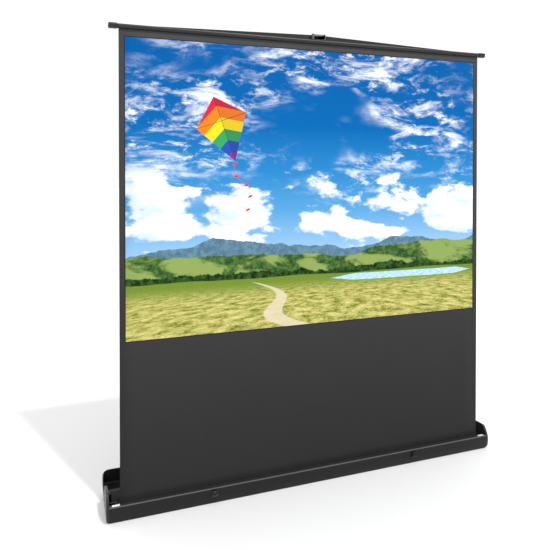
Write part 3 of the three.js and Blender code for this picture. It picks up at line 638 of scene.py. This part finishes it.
def picture_face(name, settings):
    """The cloth's front: a generic summer landscape in the picture area, and matt black all round it."""
    finish = Finish(name, IOR=1.4, Specular_IOR_Level=0.12, Emission_Strength=settings.glow)
    layout = finish.coordinates("UV")
    top = rail_low.z - settings.top_border
    low = top - settings.picture_height
    across = finish.part(layout, "X") / settings.picture_width + 0.5
    up = (finish.part(layout, "Y") - low) / settings.picture_height
    picture = sky_with_clouds(finish, across, up)
    picture = kite(finish, across, up, picture)
    picture = far_land(finish, across, up, picture)
    picture = near_land(finish, across, up, picture)
    soft = 0.0006
    inside = across.band(0.0, soft, 1 - soft, 1.0) * up.band(0.0, soft, 1 - soft, 1.0)
    black, cloud = black_coating(finish, layout, settings.black)
    outline = across.band(-0.0026, -0.0016, 1.0016, 1.0026) * up.band(-0.0036, -0.0024, 1.0024, 1.0036)
    border = finish.blend(outline * 0.75, black, shade(settings.black, 0.4))
    finish.feed("Base Color", finish.blend(inside, border, picture))
    # Painted light: the picture glows by itself, standing in for a projector's light.
    finish.feed("Emission Color", finish.blend(inside, (0.0, 0.0, 0.0), picture))
    finish.feed("Roughness", 0.60 + cloud * 0.12 + inside * 0.2)
    finish.bumps(cloth_weave(finish, layout), strength=0.10, depth=0.0002)
    return finish.material


def floor_finish(color):
    """A pale matt floor with the faintest unevenness."""
    finish = Finish("studio_floor", IOR=1.3)
    tone = finish.grain(finish.coordinates(), scale=0.7, detail=2)
    finish.feed("Base Color", finish.blend(tone, shade(color, 0.995), color[:3]))
    finish.feed("Roughness", 0.9)
    return finish.material


materials = {}


def finish_named(name):
    """The finish of that name, made when it is first asked for."""
    if name not in materials:
        colors = bpy.context.scene.screen_finish
        cloth = bpy.context.scene.screen_cloth
        makers = {
            # The same satin paint at different shades: darker on the case as painted shade, paler on the rail
            # as painted light.
            "case_paint": lambda: case_paint(shade(colors.paint, 0.6)),
            "paint": lambda: painted_extrusion(
                "satin_black_section", shade(colors.paint, 0.7), gleam=0.4
            ).material,
            "rail_paint": lambda: rail_paint(shade(colors.paint, 0.8)),
            "arm_paint": lambda: painted_extrusion("satin_black_arm", colors.paint, "Z").material,
            "plastic": lambda: moulded_plastic("moulded_black", colors.plastic, 0.30),
            "gloss": lambda: moulded_plastic("gloss_black_moulding", colors.plastic, 0.16),
            "steel": lambda: plated_steel("plated_steel", colors.steel),
            "dark_steel": lambda: plated_steel("dark_plated_steel", shade(colors.steel, 0.16)),
            "ledge": lambda: ledge_metal("ledge_plate_metal", (0.90, 0.90, 0.91)),
            "handle": lambda: moulded_plastic("handle_moulding", shade(colors.plastic, 14), 0.34),
            "handle_bar": lambda: brushed_metal("handle_bar_steel", shade(colors.bright, 0.35), "X", 0.5),
            "tube": lambda: brushed_metal("roller_aluminium", (0.55, 0.55, 0.56), "X", 0.30),
            "bright": lambda: brushed_metal("bright_steel", colors.bright, "Y", 0.16),
            "bar": lambda: brushed_metal("bright_bar", colors.bright, "X", 0.12),
            "webbing": lambda: webbing("woven_strap"),
            "black_cloth": lambda: black_cloth("black_cloth", cloth.black),
            "picture": lambda: picture_face("picture_cloth", cloth),
        }
        materials[name] = makers[name]()
    return materials[name]


# Shapes


def piece_from(mesh_maker, name, body, finish, slot_name, *nodes):
    """Makes one piece from a bmesh with its finish, sets what it rides on and hides the CAD nodes it stands
    for; slot_name is not used.
    """
    mesh = bpy.data.meshes.new(name)
    mesh_maker.to_mesh(mesh)
    mesh_maker.free()
    piece = bpy.data.objects.new(name, mesh)
    bpy.context.scene.collection.objects.link(piece)
    for each in finish if isinstance(finish, tuple) else (finish,):
        mesh.materials.append(finish_named(each))
    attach(piece, body)
    if nodes:
        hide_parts(*nodes)
    return piece


def merged_copy(node):
    """A bmesh of a CAD node's shape with its triangles joined and its flat faces made whole."""
    shape = bmesh.new()
    shape.from_mesh(frame["nodes"][node].data)
    bmesh.ops.remove_doubles(shape, verts=shape.verts, dist=1e-6)
    bmesh.ops.dissolve_limit(
        shape, angle_limit=math.radians(0.3), verts=shape.verts, edges=shape.edges,
        use_dissolve_boundaries=False,
    )
    return shape


def smooth_all(shape):
    for face in shape.faces:
        face.smooth = True


def rounded(shape, width, segments):
    """Rounds the sharp edges of a bmesh and smooths what lies between them."""
    sharp_angle = math.radians(35)
    sharp = [edge for edge in shape.edges if edge.is_manifold and edge.calc_face_angle(0) > sharp_angle]
    bmesh.ops.bevel(
        shape, geom=sharp, offset=width, offset_type="OFFSET", segments=segments, profile=0.5,
        affect="EDGES", clamp_overlap=True, material=-1,
    )
    smooth_all(shape)
    return shape


def even_normals(piece):
    """Keeps large flat faces flat beside small rounds."""
    settle = piece.modifiers.new("even_normals", "WEIGHTED_NORMAL")
    settle.keep_sharp = True
    settle.weight = 60


def kind_of(node):
    """A node's name without the side or letter at its end."""
    return node.rsplit("_", 1)[0] if node.endswith(("_left", "_right", "_a", "_b")) else node


def edged(node):
    """A CAD node's shape with its edges rounded, dressed as its kind is."""
    finish, share, segments = dressings[kind_of(node)]
    shape = rounded(merged_copy(node), bpy.context.scene.screen_finish.edge * share, segments)
    piece = piece_from(shape, f"{node}_finished", body_of_node[node], finish, slot_of_node[node], node)
    even_normals(piece)
    return piece


def coated(node, finish):
    """A CAD node that is left as it is, in its finish."""
    mesh = frame["nodes"][node].data
    mesh.materials.clear()
    mesh.materials.append(finish_named(finish))


def lay_out(shape, across, along):
    """Gives each face corner its place in metres, measured along two directions."""
    layer = shape.loops.layers.uv.verify()
    for face in shape.faces:
        for loop in face.loops:
            loop[layer].uv = (loop.vert.co.dot(across), loop.vert.co.dot(along))


def cross_head_screw(node, outward):
    """A countersunk screw with a crowned head and a cross recess."""
    low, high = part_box(node)
    centre = (low + high) / 2
    radius = (high.z - low.z) / 2
    depth = high.x - low.x
    shape = bmesh.new()
    shank = [(0, 0), (0.5, 0), (0.5, 0.72)]
    head = [(1, 0.74), (1, 0.93), (0.86, 0.985), (0.45, 1), (0, 1)]
    points = [shape.verts.new((radius * out, 0, depth * up)) for out, up in shank + head]
    edges = [shape.edges.new(pair) for pair in zip(points, points[1:])]
    bmesh.ops.spin(
        shape, geom=points + edges, cent=(0, 0, 0), axis=(0, 0, 1), angle=math.tau, steps=32, use_merge=True
    )
    bmesh.ops.remove_doubles(shape, verts=shape.verts, dist=1e-6)
    bmesh.ops.recalc_face_normals(shape, faces=shape.faces)
    smooth_all(shape)
    turn = Matrix.Rotation(math.radians(90 * outward), 4, "Y")
    inner = low.x if outward > 0 else high.x
    place = Matrix.Translation((inner, centre.y, centre.z)) @ turn
    bmesh.ops.transform(shape, matrix=place, verts=shape.verts)
    piece = piece_from(shape, f"{node}_finished", body_of_node[node], "bright", slot_of_node[node], node)
    cut_cross(piece, place, radius, depth)
    return piece


def cut_cross(piece, place, radius, depth):
    """Sinks a cross recess into a screw's head."""
    tool_shape = bmesh.new()
    for long, wide in ((radius * 0.62, radius * 0.15), (radius * 0.15, radius * 0.62)):
        bar = bmesh.ops.create_cube(tool_shape, size=1.0)["verts"]
        bmesh.ops.scale(tool_shape, vec=(long * 2, wide * 2, depth * 0.3), verts=bar)
        bmesh.ops.translate(tool_shape, vec=(0, 0, depth * 0.98), verts=bar)
    bmesh.ops.transform(tool_shape, matrix=place, verts=tool_shape.verts)
    tool_mesh = bpy.data.meshes.new("cross_tool")
    tool_shape.to_mesh(tool_mesh)
    tool_shape.free()
    tool = bpy.data.objects.new("cross_tool", tool_mesh)
    bpy.context.scene.collection.objects.link(tool)
    cut = piece.modifiers.new("cross", "BOOLEAN")
    cut.operation = "DIFFERENCE"
    cut.solver = "EXACT"
    cut.use_self = True
    cut.object = tool
    bpy.context.view_layer.update()
    done = bpy.data.meshes.new_from_object(piece.evaluated_get(bpy.context.evaluated_depsgraph_get()))
    piece.modifiers.remove(cut)
    piece.data = done
    bpy.data.objects.remove(tool)


# Operators: one for each piece or group of like pieces


class SCREEN_OT_case(bpy.types.Operator):
    """Finish the case: channel, moulded ends, screws, bright ledge plates and the hinge halves on it"""

    bl_idname = "screen.case"
    bl_label = "Case"

    def execute(self, context):
        edged("case_channel")
        for side, outward in zip(sides, (-1, 1)):
            edged(f"end_cap_{side}")
            edged(f"hinge_leaf_case_{side}")
            coated(f"hinge_pin_{side}", "bar")
            edged(f"ledge_plate_{side}")
            for number in (1, 2):
                cross_head_screw(f"cap_screw_{side}_{number}", outward)
        return {"FINISHED"}


class SCREEN_OT_roller(bpy.types.Operator):
    """Finish the roller, its plugs, pins, brackets and spring"""

    bl_idname = "screen.roller"
    bl_label = "Roller"

    def execute(self, context):
        coated("roller_tube", "tube")
        coated("roller_spring", "steel")
        for side in sides:
            edged(f"roller_plug_{side}")
            edged(f"spindle_{side}")
            edged(f"roller_bracket_{side}")
        return {"FINISHED"}


class SCREEN_OT_winding(bpy.types.Operator):
    """Wind the spare cloth on the roller as one thin spiral sheet"""

    bl_idname = "screen.winding"
    bl_label = "Wound cloth"

    def execute(self, context):
        thickness = context.scene.screen_cloth.thickness
        axis = (roll_low + roll_high) / 2
        outer = (roll_high.z - roll_low.z) / 2 - thickness
        inner = (tube_high.z - tube_low.z) / 2 + thickness
        turns = 4
        steps = 48
        shape = bmesh.new()
        points = []
        for i in range(turns * steps + 1):
            angle = math.tau * i / steps + math.pi / 2
            radius = inner + (outer - inner) * i / (turns * steps)
            place = (roll_low.x, axis.y + radius * math.cos(angle), axis.z + radius * math.sin(angle))
            points.append(shape.verts.new(place))
        edges = [shape.edges.new(pair) for pair in zip(points, points[1:])]
        out = bmesh.ops.extrude_edge_only(shape, edges=edges)
        moved = [v for v in out["geom"] if isinstance(v, bmesh.types.BMVert)]
        bmesh.ops.translate(shape, vec=(roll_high.x - roll_low.x, 0, 0), verts=moved)
        lay_out(shape, Vector((1, 0, 0)), Vector((0, 0, 1)))
        smooth_all(shape)
        piece = piece_from(shape, "cloth_winding", "roller", "black_cloth", "screen_fabric", "cloth_roll")
        wall = piece.modifiers.new("thickness", "SOLIDIFY")
        wall.thickness = thickness
        wall.offset = 0.0
        length = turns * math.pi * (inner + outer)
        return {"FINISHED"}


class SCREEN_OT_cloth(bpy.types.Operator):
    """Make the pulled-out cloth with its picture area, black borders and long black drop"""

    bl_idname = "screen.cloth"
    bl_label = "Screen cloth"

    def execute(self, context):
        settings = context.scene.screen_cloth
        width = cloth_high.x - cloth_low.x
        length = cloth_high.z - cloth_low.z
        middle = (cloth_low + cloth_high) / 2
        shape = bmesh.new()
        bmesh.ops.create_grid(shape, x_segments=24, y_segments=28, size=0.5)
        bmesh.ops.scale(shape, vec=(width, length, 1), verts=shape.verts)
        upright = Matrix.Rotation(math.pi / 2, 3, "X")
        bmesh.ops.rotate(shape, cent=(0, 0, 0), matrix=upright, verts=shape.verts)
        bmesh.ops.translate(shape, vec=middle, verts=shape.verts)
        lay_out(shape, Vector((1, 0, 0)), Vector((0, 0, 1)))
        smooth_all(shape)
        piece = piece_from(
            shape, "screen_cloth_sheet", "case", ("picture", "black_cloth"), "screen_fabric", "screen_cloth"
        )
        wall = piece.modifiers.new("thickness", "SOLIDIFY")
        wall.thickness = settings.thickness
        wall.offset = 0.0
        wall.material_offset = 1
        wall.material_offset_rim = 1
        fold = joint_named["frame_fold"]
        foot_x, _, foot_z = fold["pos_m"]
        elbow_x, _, elbow_z = joint_named["elbow_a_fold"]["pos_m"]
        reach = math.hypot(elbow_x - foot_x, elbow_z - foot_z)
        lean = math.acos((elbow_z - foot_z) / reach)
        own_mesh(piece)
        return {"FINISHED"}


class SCREEN_OT_rail(bpy.types.Operator):
    """Finish the top rail, its end caps, the peaked strip behind it and the pull handle"""

    bl_idname = "screen.rail"
    bl_label = "Top rail"

    def execute(self, context):
        edged("top_rail")
        edged("rail_stiffener")
        for side in sides:
            edged(f"rail_cap_{side}")
        edged("pull_handle")
        edged("handle_bar")
        return {"FINISHED"}


class SCREEN_OT_folding_frame(bpy.types.Operator):
    """Finish the four arms, their pins and the two channels that carry them"""

    bl_idname = "screen.folding_frame"
    bl_label = "Folding frame"

    def execute(self, context):
        for stem in ("lower_arm", "upper_arm", "foot_pin", "elbow_pin", "head_pin"):
            for letter in ("a", "b"):
                edged(f"{stem}_{letter}")
        edged("foot_channel")
        edged("head_channel")
        return {"FINISHED"}


class SCREEN_OT_lid(bpy.types.Operator):
    """Finish the lid, its ends, hinge halves, strikes and carrying strap"""

    bl_idname = "screen.lid"
    bl_label = "Lid"

    def execute(self, context):
        edged("lid_shell")
        for side in sides:
            edged(f"lid_end_{side}")
            edged(f"hinge_leaf_lid_{side}")
            edged(f"lid_strike_{side}")
            edged(f"strap_post_{side}")
        strap = edged("carry_strap")
        shape = bmesh.new()
        shape.from_mesh(strap.data)
        lay_out(shape, Vector((0, 1, 0)), Vector((1, 0, 0)))
        shape.to_mesh(strap.data)
        shape.free()
        return {"FINISHED"}


class SCREEN_OT_latches(bpy.types.Operator):
    """Finish the two latches on the front lip"""

    bl_idname = "screen.latches"
    bl_label = "Latches"

    def execute(self, context):
        for side in sides:
            edged(f"latch_plate_{side}")
            edged(f"latch_lever_{side}")
            edged(f"latch_loop_{side}")
        return {"FINISHED"}


class SCREEN_OT_studio(bpy.types.Operator):
    """Lay the pale floor, light it softly and set up the camera"""

    bl_idname = "screen.studio"
    bl_label = "Studio"

    def execute(self, context):
        scene = context.scene
        settings = scene.screen_studio
        ground = bmesh.new()
        bmesh.ops.create_grid(ground, x_segments=8, y_segments=8, size=floor_half)
        bmesh.ops.translate(ground, vec=(0, 0, cad_low.z), verts=ground.verts)
        mesh = bpy.data.meshes.new("floor")
        ground.to_mesh(mesh)
        ground.free()
        mesh.materials.append(floor_finish(settings.floor))
        floor = bpy.data.objects.new("floor", mesh)
        scene.collection.objects.link(floor)

        scene.view_settings.view_transform = "Standard"
        world = bpy.data.worlds.new("studio")
        scene.world = world
        world.use_nodes = True
        surround = world.node_tree.nodes["Background"]
        surround.inputs["Color"].default_value = (1.0, 1.0, 1.0, 1.0)
        surround.inputs["Strength"].default_value = settings.surround

        light = bpy.data.lights.new("key", "SUN")
        light.energy = settings.key
        light.angle = light_spread
        lamp = bpy.data.objects.new("key", light)
        scene.collection.objects.link(lamp)
        lamp.rotation_euler = light_direction.to_track_quat("-Z", "Y").to_euler()

        lens = bpy.data.cameras.new("camera")
        lens.sensor_width = sensor_width
        lens.lens = camera_lens
        lens.shift_y = camera_shift
        camera = bpy.data.objects.new("camera", lens)
        scene.collection.objects.link(camera)
        camera.location = camera_place
        camera.rotation_euler = camera_turn
        scene.camera = camera
        return {"FINISHED"}


piece_operators = (
    SCREEN_OT_case,
    SCREEN_OT_roller,
    SCREEN_OT_winding,
    SCREEN_OT_cloth,
    SCREEN_OT_rail,
    SCREEN_OT_folding_frame,
    SCREEN_OT_lid,
    SCREEN_OT_latches,
    SCREEN_OT_studio,
)


class SCREEN_PT_panel(bpy.types.Panel):
    """Sidebar panel with the screen's sizes, finishes and pieces"""

    bl_idname = "SCREEN_PT_panel"
    bl_label = "Projector Screen"
    bl_space_type = "VIEW_3D"
    bl_region_type = "UI"
    bl_category = "Projector Screen"

    def draw(self, context):
        scene = context.scene
        for settings in (scene.screen_cloth, scene.screen_finish, scene.screen_studio):
            box = self.layout.box()
            for name in settings.__annotations__:
                box.prop(settings, name)
        for operator in piece_operators:
            self.layout.operator(operator.bl_idname)


setting_groups = {
    "screen_cloth": ClothSettings,
    "screen_finish": FinishSettings,
    "screen_studio": StudioSettings,
}


def register():
    for group in setting_groups.values():
        bpy.utils.register_class(group)
    for name, group in setting_groups.items():
        setattr(bpy.types.Scene, name, bpy.props.PointerProperty(type=group))
    for operator in piece_operators:
        bpy.utils.register_class(operator)
    bpy.utils.register_class(SCREEN_PT_panel)


def unregister():
    bpy.utils.unregister_class(SCREEN_PT_panel)
    for operator in reversed(piece_operators):
        bpy.utils.unregister_class(operator)
    for name, group in setting_groups.items():
        delattr(bpy.types.Scene, name)
        bpy.utils.unregister_class(group)


def main():
    register()
    bpy.ops.screen.case()
    bpy.ops.screen.roller()
    bpy.ops.screen.winding()
    bpy.ops.screen.cloth()
    bpy.ops.screen.rail()
    bpy.ops.screen.folding_frame()
    bpy.ops.screen.lid()
    bpy.ops.screen.latches()
    bpy.ops.screen.studio()


if __name__ == "__main__":
    main()
